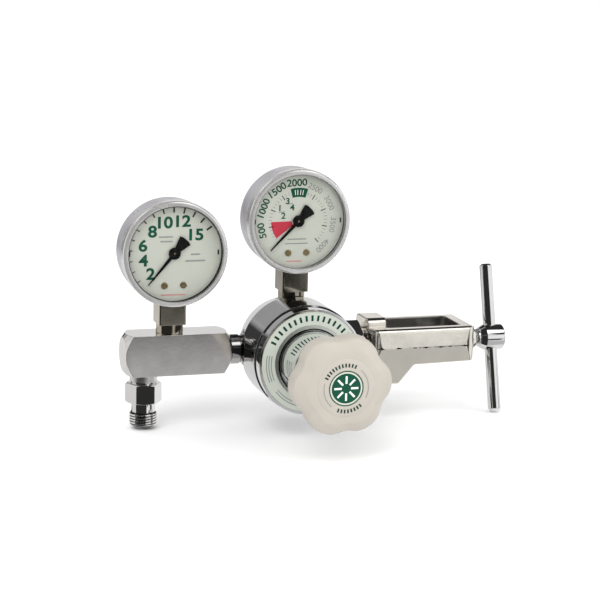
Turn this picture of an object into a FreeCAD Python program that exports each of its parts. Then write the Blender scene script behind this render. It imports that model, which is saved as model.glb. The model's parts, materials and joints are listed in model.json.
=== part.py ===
import FreeCAD, Part
import math
import os

# Oxygen regulator with two gauges, a yoke and a six-lobed control knob.
# Millimetres. X = 0 is the sealing plane of the yoke, +X points to the tee screw,
# -Y is the front (knob side) and +Z is up.

os.makedirs("parts", exist_ok=True)
V = FreeCAD.Vector
X, Y, Z = V(1, 0, 0), V(0, 1, 0), V(0, 0, 1)

# Clearances
press = 0.02
thread_play = 0.05
running = 0.08

# Main places
body_x = -53.0
outlet_x = -132.8
flow_gauge_x = -119.2
flow_stem = 43.1
contents_stem = 45.1

# Spring wire
wire_sides = 6

# Regulator body
body_r = 28.5
body_front = -31.0
body_back = 14.0
body_back_r = 25.0
taper_start = -5.0
taper_end = 11.0
front_bevel = 1.6
back_round = 3.0
back_lip = 1.2
wide_seat_r = 13.5
wide_seat_reach = 24.0
left_seat_r = 10.5
left_seat_reach = 23.5
top_seat_r = 8.6
top_seat_reach = 24.0
bonnet_thread_r = 25.0
diaphragm_seat = -25.0
cavity_r = 20.0
cavity_floor = -21.0
nozzle_r = 6.0
chamber_r = 5.5
chamber_front = -11.0
plug_thread_r = 7.5
plug_thread_start = 7.0
inlet_thread_r = 7.5
inlet_thread_depth = 12.0
gauge_thread_r = 6.4
gauge_thread_depth = 9.0
nipple_thread_r = 6.45
nipple_thread_depth = 10.5
inlet_drill_r = 2.5
gauge_drill_r = 1.5
low_drill_x = -14.0

# Relief valve, low on the right side
relief_angle = -40.0
relief_y = -14.0
relief_r = 4.5
relief_seat_reach = 27.5
relief_floor = 19.0
relief_drill_r = 1.5
relief_passage_reach = 17.0
relief_head_r = 6.0
relief_head_height = 4.0

# Bonnet
flange_r = 27.9
flange_front = -36.5
rim_wall = 1.2
rim_front = -37.3
shoulder_r = 19.4
neck_r = 17.1
neck_front = -75.0
neck_chamfer = 1.5
bonnet_bore_r = 13.6
bonnet_wall_back = -69.0
spigot_end = -26.0
bonnet_mouth_r = 20.0
bonnet_mouth_front = -31.5
bonnet_mouth_taper = 2.0
flat_distance = 15.0
flat_back = -38.5
flat_front = -50.0
flat_angle = 43.0
label_front = -37.0

# Pieces inside the bonnet
diaphragm_t = 1.0
plate_r = 12.9
plate_t = 2.2
plate_pilot_r = 9.0
plate_pilot_t = 2.0
spring_wire_r = 1.2
spring_r = 10.5
spring_turns = 5.0
spring_front = -58.0
button_r = 13.3
button_t = 3.0
button_pilot_r = 9.0
button_pilot_t = 2.0
screw_r = 4.76
screw_end = -86.0

# Control knob
knob_lobes = 6
lobe_top_r = 25.6
lobe_r = 13.0
valley_low_r = 23.1
valley_angle = -25.0
knob_back = -72.0
knob_front = -92.3
knob_side_back = -79.0
knob_edge_front = -90.4
knob_back_r = 23.4
knob_round = 3.2
knob_cup_r = 18.8
knob_cup_floor = -89.3
hub_r = 8.0
hub_back = -83.0
badge_r = 9.0
badge_t = 0.8
dish_r = 14.7

# Nozzle, poppet and plug
nozzle_t = 8.0
nozzle_hole_r = 1.4
poppet_r = 3.5
poppet_stem_r = 0.9
poppet_back = -4.0
poppet_spring_r = 2.2
poppet_spring_wire_r = 0.3
poppet_spring_turns = 5.0
plug_bore_r = 2.8
plug_bore_end = 9.0
plug_flats = 19.0
plug_head = 3.5

# Inlet stem, washer, pins and yoke
stem_flats = 22.2
stem_hex_length = 14.3
collar_r = 9.2
shank_r = 7.9
nose_r = 3.15
nose_length = 3.2
nose_root_r = 2.9
stem_bore_r = 1.3
filter_r = 4.0
filter_length = 6.0
washer_r = 6.3
washer_t = 2.0
pin_r = 1.98
pin_shank_r = 1.7
pin_length = 4.0
pin_depth = 6.0
pin_circle_r = 14.3
pin_half_angle = 18.0
head_left = -12.5
head_right = -2.0
head_half_width = 9.5
head_top = 15.0
yoke_bottom = -20.5
cheek_bottom_end = 4.0
arm_bottom_start = 12.3
arm_bottom = -9.5
arm_bottom_right = -8.7
yoke_right = 48.4
arm_top = 10.3
arm_out = 17.7
arm_out_top = 16.9
arm_out_bottom = 14.0
yoke_corner_r = 8.5
window_half = 11.7
window_right = 40.0
boss_r = 7.65
boss_right = 53.0
tee_r = 4.7625

# Tee screw, bar and pad
tee_head_r = 7.0
tee_head_left = 56.0
tee_head_right = 69.7
tee_head_taper = 2.8
tee_tip = 28.2
tee_stud_r = 2.5
tee_stud_end = 30.6
bar_r = 3.5
bar_length = 81.0
bar_x = 63.1
bar_tilt = 15.4
pad_r = 6.2
pad_left = 26.9
pad_right = 30.5

# Outlet block, nipple and fitting
block_left = -144.0
block_right = -87.5
block_half_y = 9.0
block_top = 10.8
block_turned = 4.0
block_end_r = 9.0
boss_bottom = -14.5
outlet_boss_r = 7.2
passage_r = 2.5
fitting_thread_r = 5.4
fitting_thread_depth = 9.0
fitting_flats = 16.7
fitting_hex_top = -15.6
fitting_hex_bottom = -25.8
fitting_corner_angle = -5.0
fitting_neck_r = 6.3
fitting_thread_top = -31.0
fitting_end = -38.45
hose_thread_r = 7.144
hose_bore_r = 4.2
hose_bore_depth = 7.0
fitting_bore_r = 2.0
orifice_r = 3.0
orifice_t = 2.5
orifice_hole_r = 0.5
nipple_r = 7.9
nipple_groove = 0.5
nipple_flange_r = 9.2
nipple_flange_left = -79.2
nipple_bore_r = 2.2

# Gauges, in their own right and up directions from the dial centre
case_r = 27.0
case_wall = 1.2
case_front = -10.4
case_back = 11.0
case_round = 4.5
bezel_r = 27.6
bezel_window_r = 24.7
bezel_front = -13.0
bezel_skirt_end = -7.0
bezel_round = 1.4
bezel_lip_round = 0.5
lens_t = 1.5
lens_r = 26.8
dial_r = 25.0
dial_front = -8.6
dial_t = 0.6
dial_hole_r = 1.2
dial_screw_right = 5.0
dial_screw_up = -16.8
dial_screw_head_r = 1.7
dial_screw_r = 0.8
dial_screw_depth = 2.5
dial_screw_head_t = 0.7
dial_screw_slot = 0.4
pointer_front = -9.7
pointer_t = 0.35
pointer_hub_r = 3.1
pointer_hub_front = -10.1
pointer_tip = 21.3
pointer_tail = 9.3
pointer_tail_side = 8.6
pointer_tail_half = 3.6
pointer_root_half = 1.0
pointer_tip_half = 0.25
flow_pointer_rest = -140.0
contents_pointer_rest = -136.0
socket_square = 14.3
square_bottom = -38.2
socket_neck_r = 6.85
socket_round_r = 7.1
block_half = 5.5
block_depth = 4.0
block_floor = -24.6
block_up = -18.2
socket_bore_r = 1.3
tube_r = 19.5
tube_thick = 1.6
tube_deep = 7.0
tube_wall = 0.3
tube_tip_angle = -10.0
tube_sweep = 270.0
tube_port_r = 0.6
tube_port_reach = 3.2
lug_angle = -15.0
lug_inward = 0.9
lug_outward = 0.6
lug_drop = 4.0
lug_front = -0.9
lug_t = 0.8
link_t = 0.7
link_half = 0.7
link_pin_r = 0.5
link_eye_r = 1.2
link_gap = 0.1
gear_module = 0.35
pressure_angle = 25.0
pinion_teeth = 12
pinion_front = -1.2
pinion_back = 0.2
sector_ratio = 6
sector_rim = 2.6
sector_hub_r = 2.0
sector_spoke = 1.2
sector_arm = 1.8
tooth_thinning = 0.05
arbor_r = 0.6
arbor_front = -10.2
arbor_back = 5.4
plate_gap = 4.0
movement_t = 0.8
plate_half = 7.2
plate_foot = -19.6
plate_post_r = 1.8
pillar_left = -5.9
pillar_up = 1.6
tail_length = 7.0
tail_angle = -20.0
pillar_r = 1.3
hairspring_in = 0.75
hairspring_out = 5.4
hairspring_halves = 6
hairspring_t = 0.24
hairspring_width = 0.4
hairspring_front = 1.2


def placed(shape, base, direction):
    """Turn a shape made along +Z to a direction and move it to its base."""
    shape.Placement = FreeCAD.Placement(base, FreeCAD.Rotation(Z, direction))
    return shape


def rod(r, base, direction, length):
    return Part.makeCylinder(r, length, base, direction)


def box(x_span, y_span, z_span):
    size = [span[1] - span[0] for span in (x_span, y_span, z_span)]
    return Part.makeBox(*size, V(x_span[0], y_span[0], z_span[0]))


def outline(points, to_space):
    """Face inside a closed outline. A third value rounds a corner, or bevels it if negative."""
    starts, ends, edges = [], [], []
    count = len(points)
    for i, point in enumerate(points):
        here = V(point[0], point[1], 0)
        if len(point) == 2:
            starts.append(here)
            ends.append(here)
            continue
        before = V(*points[i - 1][:2], 0) - here
        after = V(*points[(i + 1) % count][:2], 0) - here
        before.normalize()
        after.normalize()
        if point[2] < 0:
            starts.append(here - before * point[2])
            ends.append(here - after * point[2])
            edges.append(Part.makeLine(to_space(*starts[i][:2]), to_space(*ends[i][:2])))
            continue
        half = before.getAngle(after) / 2
        middle = before + after
        middle.normalize()
        reach = point[2] / math.tan(half)
        starts.append(here + before * reach)
        ends.append(here + after * reach)
        crown = here + middle * (point[2] / math.sin(half) - point[2])
        corner = [to_space(p.x, p.y) for p in (starts[i], crown, ends[i])]
        edges.append(Part.Arc(*corner).toShape())
    for i in range(count):
        first, last = ends[i], starts[(i + 1) % count]
        if first.distanceToPoint(last) > 1e-6:
            edges.append(Part.makeLine(to_space(first.x, first.y), to_space(last.x, last.y)))
    return Part.Face(Part.Wire(Part.__sortEdges__(edges)))


def plan_slab(points, low, high):
    return outline(points, lambda a, b: V(a, b, low)).extrude(Z * (high - low))


def facing_slab(points, low, high):
    """Outline in right and up directions, given depth along Y."""
    return outline(points, lambda a, b: V(a, low, b)).extrude(Y * (high - low))


def end_slab(points, low, high):
    return outline(points, lambda a, b: V(low, a, b)).extrude(X * (high - low))


def turned(points, base, direction):
    """Solid of revolution from (radius, height) points along a direction."""
    solid = outline(points, lambda r, h: V(r, 0, h)).revolve(V(0, 0, 0), Z, 360)
    return placed(solid, base, direction)


def turned_deep(points, x, z=0.0):
    """Solid of revolution on a front-to-back axis, from (radius, depth along Y) points."""
    return turned([(point[0], -point[1], *point[2:]) for point in points], V(x, 0, z), -Y)


def ring(r_out, r_in, base, direction, length):
    return rod(r_out, base, direction, length).cut(rod(r_in, base, direction, length))


def hexagon(flats, base, direction, length, corner, chamfer=1.0):
    """Hexagonal bar with turned end chamfers and one corner towards a given vector."""
    corner_r = flats / math.sqrt(3)
    side = direction.cross(corner)
    points = []
    for k in range(7):
        turn = math.radians(60 * k)
        points.append(base + (corner * math.cos(turn) + side * math.sin(turn)) * corner_r)
    bar = Part.Face(Part.makePolygon(points)).extrude(direction * length)
    drop = chamfer * math.tan(math.radians(30))
    limit = [(0, 0), (corner_r - chamfer, 0), (corner_r, drop), (corner_r, length - drop),
             (corner_r - chamfer, length), (0, length)]
    return bar.common(turned(limit, base, direction))


def coil(mean_r, wire_r, turns, base, direction, length):
    """Compression spring whose end turns are ground flat; its wire has few sides to stay light."""
    helix = Part.makeHelix(length / turns, length, mean_r)
    section = []
    for k in range(wire_sides + 1):
        turn = 2 * math.pi * (k + 0.5) / wire_sides
        section.append(V(mean_r + wire_r * math.cos(turn), 0, wire_r * math.sin(turn)))
    wire = Part.Wire(helix).makePipeShell([Part.makePolygon(section)], True, True)
    ground = rod(mean_r + wire_r + 1, V(0, 0, 0), Z, length)
    return placed(wire.common(ground), base, direction)


def save(shape, name):
    solids = shape.Solids
    whole = solids[0] if len(solids) == 1 else Part.makeCompound(solids)
    whole.exportStep("parts/" + name + ".step")


def around(angle, reach, y, centre_x=0.0):
    """Point at an angle from +X towards +Z, seen from the front."""
    turn = math.radians(angle)
    return V(centre_x + reach * math.cos(turn), y, reach * math.sin(turn))


def regulator_body():
    profile = [(0, body_back), (body_back_r - back_lip, body_back, back_round), (body_back_r, taper_end),
               (body_r, taper_start), (body_r, body_front, -front_bevel), (0, body_front)]
    body = turned_deep(profile, body_x)
    centre = V(body_x, 0, 0)
    far = body_r
    right_seat = rod(wide_seat_r, centre + X * wide_seat_reach, X, far)
    left_seat = rod(left_seat_r, centre - X * left_seat_reach, -X, far)
    top_seat = rod(top_seat_r, centre + Z * top_seat_reach, Z, far)
    bonnet_bore = rod(bonnet_thread_r, centre + Y * body_front, Y, diaphragm_seat - body_front)
    cavity = rod(cavity_r, centre + Y * diaphragm_seat, Y, cavity_floor - diaphragm_seat)
    nozzle_bore = rod(nozzle_r, centre + Y * cavity_floor, Y, chamber_front - cavity_floor)
    chamber = rod(chamber_r, centre + Y * chamber_front, Y, plug_thread_start - chamber_front)
    plug_bore = rod(plug_thread_r, centre + Y * plug_thread_start, Y, body_back - plug_thread_start)
    inlet = rod(inlet_thread_r, centre + X * wide_seat_reach, -X, inlet_thread_depth)
    inlet_drill = rod(inlet_drill_r, centre + X * wide_seat_reach, -X, wide_seat_reach)
    top_port = rod(gauge_thread_r + thread_play, centre + Z * top_seat_reach, -Z, gauge_thread_depth + 1)
    top_drill = rod(gauge_drill_r, centre + Z * top_seat_reach, -Z, top_seat_reach)
    left_port = rod(nipple_thread_r + thread_play, centre - X * left_seat_reach, X,
                    nipple_thread_depth + 1)
    low_drill = rod(gauge_drill_r, centre + V(low_drill_x, cavity_floor, 0), Y, -cavity_floor)
    tools = [right_seat, left_seat, top_seat, bonnet_bore, cavity, nozzle_bore, chamber, plug_bore]
    tools += [inlet, inlet_drill, top_port, top_drill, left_port, low_drill]
    outward = around(relief_angle, 1, 0)
    relief_top = around(relief_angle, relief_seat_reach, relief_y, body_x)
    depth = relief_seat_reach - relief_floor
    tools.append(rod(relief_head_r + 0.5, relief_top, outward, far))
    tools.append(rod(relief_r, relief_top, -outward, depth))
    tools.append(rod(relief_drill_r, relief_top, -outward, relief_seat_reach - relief_passage_reach + 0.5))
    passage = around(relief_angle, relief_passage_reach, cavity_floor, body_x)
    tools.append(rod(relief_drill_r, passage, Y, relief_y - cavity_floor))
    save(body.cut(tools), "regulator_body")


def relief_valve():
    outward = around(relief_angle, 1, 0)
    base = around(relief_angle, relief_floor, relief_y, body_x)
    depth = relief_seat_reach - relief_floor
    seat_t, guide_r, wall = 1.6, 2.8, 1.5
    poppet = [(0, 0), (guide_r, 0), (guide_r, seat_t), (1.4, seat_t), (1.4, seat_t + 2), (0, seat_t + 2)]
    save(turned(poppet, base, outward), "relief_poppet")
    inner = seat_t + 0.4
    top = depth + relief_head_height
    cap = [(relief_r - thread_play, inner + 0.6), (relief_r - thread_play, depth), (relief_head_r, depth),
           (relief_head_r, top, -0.8), (1.0, top), (1.0, top - wall), (guide_r + 0.2, top - wall),
           (guide_r + 0.2, inner + 0.6)]
    save(turned(cap, base, outward), "relief_cap")
    spring_length = top - wall - seat_t
    spring = coil(2.0, 0.35, 4, base + outward * seat_t, outward, spring_length)
    save(spring, "relief_spring")


def valve_parts():
    centre = V(body_x, 0, 0)
    length = nozzle_t
    nozzle_back = chamber_front
    seat = [(nozzle_hole_r, 0), (nozzle_r - press, 0), (nozzle_r - press, length), (nozzle_hole_r, length)]
    nozzle = turned(seat, centre + Y * (nozzle_back - length), Y)
    slot = box((body_x - nozzle_r, body_x + nozzle_r), (nozzle_back - length, nozzle_back - length + 1.5),
               (-0.8, 0.8))
    save(nozzle.cut(slot), "valve_nozzle")
    stem_end = diaphragm_seat
    stem_length = nozzle_back - stem_end
    head = poppet_back - nozzle_back
    poppet = [(0, -stem_length), (poppet_stem_r, -stem_length), (poppet_stem_r, 0), (poppet_r - 1, 0),
              (poppet_r, 1), (poppet_r, head - 2), (poppet_spring_r - 0.5, head - 2),
              (poppet_spring_r - 0.5, head), (0, head)]
    save(turned(poppet, centre + Y * nozzle_back, Y), "valve_poppet")
    rest = poppet_back - 2
    spring = coil(poppet_spring_r, poppet_spring_wire_r, poppet_spring_turns, centre + Y * rest, Y,
                  plug_bore_end - rest)
    save(spring, "poppet_spring")
    head_back = body_back + plug_head
    plug = rod(plug_thread_r - thread_play, centre + Y * (plug_thread_start + 0.5), Y,
               body_back - plug_thread_start - 0.5)
    plug = plug.fuse(hexagon(plug_flats, centre + Y * body_back, Y, head_back - body_back, Z))
    plug = plug.cut(rod(plug_bore_r, centre, Y, plug_bore_end))
    save(plug.removeSplitter(), "rear_plug")


def bonnet():
    screw_hole_r = screw_r + thread_play
    thread_r = bonnet_thread_r - thread_play
    rim_r = flange_r - rim_wall
    profile = [(bonnet_mouth_r, spigot_end), (thread_r, spigot_end), (thread_r, body_front),
               (flange_r, body_front, -0.4), (flange_r, rim_front), (rim_r, rim_front), (rim_r, flange_front),
               (shoulder_r, flange_front), (shoulder_r, label_front), (neck_r + 0.6, label_front - 1.0),
               (neck_r, label_front - 1.3), (neck_r, neck_front + neck_chamfer),
               (neck_r - neck_chamfer, neck_front), (screw_hole_r, neck_front),
               (screw_hole_r, bonnet_wall_back), (bonnet_bore_r, bonnet_wall_back),
               (bonnet_bore_r, bonnet_mouth_front - bonnet_mouth_taper), (bonnet_mouth_r, bonnet_mouth_front)]
    shell = turned_deep(profile, body_x)
    for side in (0, 180):
        flat = box((flat_distance, neck_r + 1), (flat_front, flat_back), (-neck_r, neck_r))
        flat.rotate(V(0, 0, 0), -Y, flat_angle + side)
        flat.translate(V(body_x, 0, 0))
        shell = shell.cut(flat)
    save(shell, "bonnet")
    label_t = flange_front - label_front
    label = ring(rim_r - 2 * press, shoulder_r + 2 * press, V(body_x, flange_front, 0), -Y, label_t)
    save(label, "label_ring")


def bonnet_inside():
    centre = V(body_x, 0, 0)
    diaphragm_front = diaphragm_seat - diaphragm_t
    save(rod(bonnet_thread_r - 0.2, centre + Y * diaphragm_seat, -Y, diaphragm_t), "diaphragm")
    plate = [(0, 0), (plate_r, 0), (plate_r, plate_t, -0.3), (plate_pilot_r, plate_t),
             (plate_pilot_r, plate_t + plate_pilot_t, -0.5), (0, plate_t + plate_pilot_t)]
    save(turned(plate, centre + Y * diaphragm_front, -Y), "diaphragm_plate")
    spring_back = diaphragm_front - plate_t
    spring = coil(spring_r, spring_wire_r, spring_turns, centre + Y * spring_back, -Y,
                  spring_back - spring_front)
    save(spring, "main_spring")
    total = button_t + button_pilot_t
    button = [(0, 0), (button_pilot_r, 0, -0.5), (button_pilot_r, button_pilot_t), (button_r, button_pilot_t),
              (button_r, total, -0.4), (screw_r - 1.5, total), (0, button_pilot_t - 0.5)]
    save(turned(button, centre + Y * (spring_front + button_pilot_t), -Y), "spring_button")
    tip_length = screw_r - 1.0
    seat = spring_front - 0.5
    length = seat - screw_end
    screw = [(0, 0.6), (0.8, 1.4), (1.2, 3.2), (1.2, tip_length + 1), (screw_r, tip_length + 3),
             (screw_r, length - 0.6), (screw_r - 0.6, length), (0, length)]
    save(turned(screw, centre + Y * seat, -Y), "adjusting_screw")


def lobed_outline():
    """Knob outline: outward arcs at the lobes joined by inward arcs at the valleys."""
    step = 2 * math.pi / knob_lobes
    lobe_centre = lobe_top_r - lobe_r
    half = step / 2
    span = lobe_centre * math.sin(half)
    along = lobe_centre * math.cos(half)
    # The valley arc touches both lobes: its centre lies outside, on the valley direction.
    low = valley_low_r - along
    valley_r = (span ** 2 + low ** 2 - lobe_r ** 2) / (2 * (lobe_r - low))
    valley_centre = valley_low_r + valley_r
    return lobe_centre, valley_centre, valley_r


def knob():
    lobe_centre, valley_centre, valley_r = lobed_outline()
    step = 360.0 / knob_lobes
    edges = []
    joins = []
    for k in range(knob_lobes):
        valley = around(valley_angle + step * k, valley_centre, knob_back)
        for side in (-1, 1):
            lobe = around(valley_angle + step * (k + side / 2), lobe_centre, knob_back)
            joins.append(lobe + (valley - lobe) * (lobe_r / (lobe_r + valley_r)))
    for k in range(knob_lobes):
        low = around(valley_angle + step * k, valley_low_r, knob_back)
        top = around(valley_angle + step * (k + 0.5), lobe_top_r, knob_back)
        edges.append(Part.Arc(joins[2 * k], low, joins[2 * k + 1]).toShape())
        edges.append(Part.Arc(joins[2 * k + 1], top, joins[(2 * k + 2) % len(joins)]).toShape())
    lobed = Part.Face(Part.Wire(edges)).extrude(Y * (knob_front - knob_back))
    profile = [(0, knob_back), (knob_back_r, knob_back, -0.6), (lobe_top_r, knob_side_back),
               (lobe_top_r, knob_edge_front, knob_round), (dish_r, knob_front + 0.5),
               (dish_r - 0.6, knob_front + 0.1), (badge_r + 1, knob_front), (0, knob_front)]
    knob_shape = lobed.common(turned_deep(profile, 0))
    cup = turned_deep([(hub_r, hub_back), (hub_r, knob_cup_floor), (knob_cup_r - 0.5, knob_cup_floor, -1.2),
                       (knob_cup_r, knob_back + 1), (0, knob_back + 1), (0, hub_back)], 0)
    knob_shape = knob_shape.cut(cup)
    knob_shape = knob_shape.cut(rod(screw_r + press, V(0, hub_back + 1, 0), -Y, hub_back + 1 - screw_end))
    knob_shape = knob_shape.cut(rod(badge_r + press, V(0, knob_front + badge_t, 0), -Y, badge_t))
    knob_shape.translate(V(body_x, 0, 0))
    save(knob_shape, "control_knob")
    save(rod(badge_r, V(body_x, knob_front + badge_t, 0), -Y, badge_t), "knob_badge")


def inlet_stem():
    start = V(body_x + wide_seat_reach, 0, 0)
    stem = hexagon(stem_flats, start, X, stem_hex_length, Z)
    hex_right = start.x + stem_hex_length
    shank = shank_r - thread_play
    thread = rod(inlet_thread_r - thread_play, start - X * (inlet_thread_depth - 0.5), X,
                 inlet_thread_depth - 0.5)
    run = [(0, hex_right), (collar_r, hex_right), (collar_r, head_left, -0.4), (shank, head_left),
           (shank, head_right), (nose_root_r, head_right), (nose_root_r, 0), (nose_r, 0),
           (nose_r, nose_length, -0.7), (0, nose_length)]
    stem = stem.fuse([thread, turned(run, V(0, 0, 0), X)]).removeSplitter()
    left = start.x - inlet_thread_depth + 0.5
    stem = stem.cut(rod(stem_bore_r, V(left, 0, 0), X, nose_length - left))
    stem = stem.cut(rod(filter_r + press, V(left, 0, 0), X, filter_length))
    save(stem, "inlet_stem")
    save(rod(filter_r, V(left, 0, 0), X, filter_length), "inlet_filter")
    save(ring(washer_r, nose_root_r + press, V(-washer_t, 0, 0), X, washer_t), "seal_washer")


def pin_places():
    turn = math.radians(pin_half_angle)
    across = pin_circle_r * math.sin(turn)
    down = -pin_circle_r * math.cos(turn)
    return [V(head_right, side * across, down) for side in (-1, 1)]


def index_pins():
    end = pin_depth + pin_length - head_right
    profile = [(0, 0), (pin_shank_r, 0, -0.3), (pin_shank_r, pin_depth), (pin_r, pin_depth),
               (pin_r, end, -0.5), (0, end)]
    pins = [turned(profile, place - X * pin_depth, X) for place in pin_places()]
    save(Part.makeCompound(pins), "index_pins")


def yoke():
    side = arm_out
    shoulder = head_left + 3.0
    plan = [(head_left, -head_half_width, 1.0), (head_left, head_half_width, 1.0), (shoulder, side, 4.5),
            (yoke_right, side, yoke_corner_r), (yoke_right, -side, yoke_corner_r), (shoulder, -side, 4.5)]
    outline_side = [(head_left, yoke_bottom), (cheek_bottom_end, yoke_bottom, 2.0),
                    (arm_bottom_start, arm_bottom, 2.5), (yoke_right - 1, arm_bottom_right, 2.5),
                    (yoke_right, 0), (yoke_right - 0.8, arm_top, 2.5), (head_left, arm_top)]
    section = [(-arm_out_bottom, yoke_bottom, 1.5), (arm_out_bottom, yoke_bottom, 1.5), (side, 0.2),
               (arm_out_top, arm_top, 2.2), (-arm_out_top, arm_top, 2.2), (-side, 0.2)]
    frame = plan_slab(plan, yoke_bottom, arm_top)
    frame = frame.common(facing_slab(outline_side, -side, side))
    frame = frame.common(end_slab(section, head_left, yoke_right))
    window = plan_slab([(head_right, -window_half, 2.0), (window_right, -window_half, 3.0),
                        (window_right, window_half, 3.0), (head_right, window_half, 2.0)],
                       yoke_bottom - 1, arm_top + 1)
    frame = frame.cut(window)
    top = [(-head_half_width, 0), (head_half_width, 0), (head_half_width, head_top, 3.5),
           (-head_half_width, head_top, 3.5)]
    frame = frame.fuse(end_slab(top, head_left, head_right))
    length = boss_right - yoke_right + 2
    boss = turned([(0, 0), (boss_r, 0), (boss_r, length - 3), (boss_r - 1.8, length, -0.5), (0, length)],
                  V(yoke_right - 2, 0, 0), X)
    frame = frame.fuse(boss).removeSplitter()
    frame = frame.cut(rod(shank_r, V(head_left, 0, 0), X, head_right - head_left))
    frame = frame.cut(rod(tee_r + thread_play, V(window_right, 0, 0), X, boss_right - window_right))
    for place in pin_places():
        frame = frame.cut(rod(pin_shank_r + press, place, -X, pin_depth))
    save(frame, "yoke_frame")


def tee_screw():
    profile = [(0, tee_tip), (tee_stud_r, tee_tip, -0.4), (tee_stud_r, tee_stud_end),
               (tee_r - 0.8, tee_stud_end), (tee_r, tee_stud_end + 0.8), (tee_r, tee_head_left),
               (tee_head_r - 1.6, tee_head_left), (tee_head_r, tee_head_left + tee_head_taper),
               (tee_head_r, tee_head_right - 1), (tee_head_r - 1, tee_head_right), (0, tee_head_right)]
    screw = turned(profile, V(0, 0, 0), X)
    turn = math.radians(bar_tilt)
    along = V(0, math.sin(turn), math.cos(turn))
    start = V(bar_x, 0, 0) - along * (bar_length / 2)
    screw = screw.cut(rod(bar_r + press, start, along, bar_length))
    save(screw, "tee_screw")
    bar = turned([(0, 0), (bar_r, 0, -1.0), (bar_r, bar_length, -1.0), (0, bar_length)], start, along)
    save(bar, "tee_bar")
    pad = [(0, pad_left), (pad_r - 2.2, pad_left), (pad_r, pad_left + 1.6), (pad_r, pad_right, -0.4),
           (tee_stud_r + running, pad_right), (tee_stud_r + running, tee_tip), (0, tee_tip)]
    save(turned(pad, V(0, 0, 0), X), "swivel_pad")


def outlet_side():
    block = box((block_left, block_right), (-block_half_y, block_half_y), (-block_top, block_top))
    full_r = math.hypot(block_half_y, block_top)
    length = block_right - block_left
    limit = [(0, 0), (block_end_r, 0), (full_r, block_turned), (full_r, length - block_turned),
             (block_end_r, length), (0, length)]
    block = block.common(turned(limit, V(block_left, 0, 0), X))
    block = block.fuse(rod(outlet_boss_r, V(outlet_x, 0, boss_bottom), Z, block_top - 2 - boss_bottom))
    block = block.removeSplitter()
    tools = [rod(nipple_thread_r + thread_play, V(block_right, 0, 0), -X, nipple_thread_depth + 1)]
    tools.append(rod(passage_r, V(outlet_x - 2, 0, 0), X, block_right - outlet_x))
    tools.append(rod(gauge_thread_r + thread_play, V(flow_gauge_x, 0, block_top), -Z,
                     gauge_thread_depth + 1))
    tools.append(rod(gauge_drill_r, V(flow_gauge_x, 0, 0), Z, block_top))
    tools.append(rod(fitting_thread_r + thread_play, V(outlet_x, 0, boss_bottom), Z,
                     fitting_thread_depth + 0.5))
    tools.append(rod(passage_r, V(outlet_x, 0, boss_bottom), Z, -boss_bottom))
    save(block.cut(tools), "outlet_block")

    turn = math.radians(fitting_corner_angle)
    corner = V(math.cos(turn), math.sin(turn), 0)
    hex_height = fitting_hex_top - fitting_hex_bottom
    hex_base = V(outlet_x, 0, fitting_hex_bottom)
    fitting = hexagon(fitting_flats, hex_base, Z, hex_height, corner)
    upper = boss_bottom + fitting_thread_depth
    run = [(0, fitting_end), (hose_thread_r - 0.8, fitting_end), (hose_thread_r, fitting_end + 0.8),
           (hose_thread_r, fitting_thread_top - 0.5), (fitting_neck_r, fitting_thread_top),
           (fitting_neck_r, fitting_hex_bottom + 1), (outlet_boss_r - 0.6, fitting_hex_bottom + 1),
           (outlet_boss_r - 0.6, boss_bottom), (fitting_thread_r, boss_bottom), (fitting_thread_r, upper),
           (0, upper)]
    fitting = fitting.fuse(turned(run, V(outlet_x, 0, 0), Z)).removeSplitter()
    fitting = fitting.cut(rod(fitting_bore_r, V(outlet_x, 0, fitting_end), Z, upper - fitting_end))
    fitting = fitting.cut(rod(hose_bore_r, V(outlet_x, 0, fitting_end), Z, hose_bore_depth))
    fitting = fitting.cut(rod(orifice_r + press, V(outlet_x, 0, upper - orifice_t), Z, orifice_t))
    save(fitting, "outlet_fitting")
    save(ring(orifice_r, orifice_hole_r, V(outlet_x, 0, upper - orifice_t), Z, orifice_t), "flow_orifice")


def connecting_nipple():
    body_left = body_x - left_seat_reach
    left = block_right - nipple_thread_depth
    right = body_left + nipple_thread_depth
    groove_r = nipple_r - nipple_groove
    run = [(nipple_bore_r, left), (nipple_thread_r, left), (nipple_thread_r, block_right),
           (nipple_r, block_right, -0.5), (nipple_r, nipple_flange_left - 3),
           (groove_r, nipple_flange_left - 2.6), (groove_r, nipple_flange_left),
           (nipple_flange_r, nipple_flange_left, -0.5),
           (nipple_flange_r, body_left, -0.5), (nipple_thread_r, body_left), (nipple_thread_r, right),
           (nipple_bore_r, right)]
    save(turned(run, V(0, 0, 0), X), "connecting_nipple")


def tooth_half_angle(pitch_r, r):
    """Half the angle of a tooth at a radius, for an involute of the pressure angle."""
    pressure = math.radians(pressure_angle)
    base_r = pitch_r * math.cos(pressure)
    at_pitch = (math.pi * gear_module / 4 - tooth_thinning) / pitch_r
    local = math.acos(min(1.0, base_r / r))
    return at_pitch + (math.tan(pressure) - pressure) - (math.tan(local) - local)


def tooth_points(pitch_r, angle):
    """Root, pitch and tip points of one tooth, in order of rising angle."""
    root = pitch_r - 1.2 * gear_module
    tip = pitch_r + 0.9 * gear_module
    radii = [root, pitch_r, tip]
    left = [(r, angle - tooth_half_angle(pitch_r, r)) for r in radii]
    right = [(r, angle + tooth_half_angle(pitch_r, r)) for r in reversed(radii)]
    return [(r * math.cos(a), r * math.sin(a)) for r, a in left + right]


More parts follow.
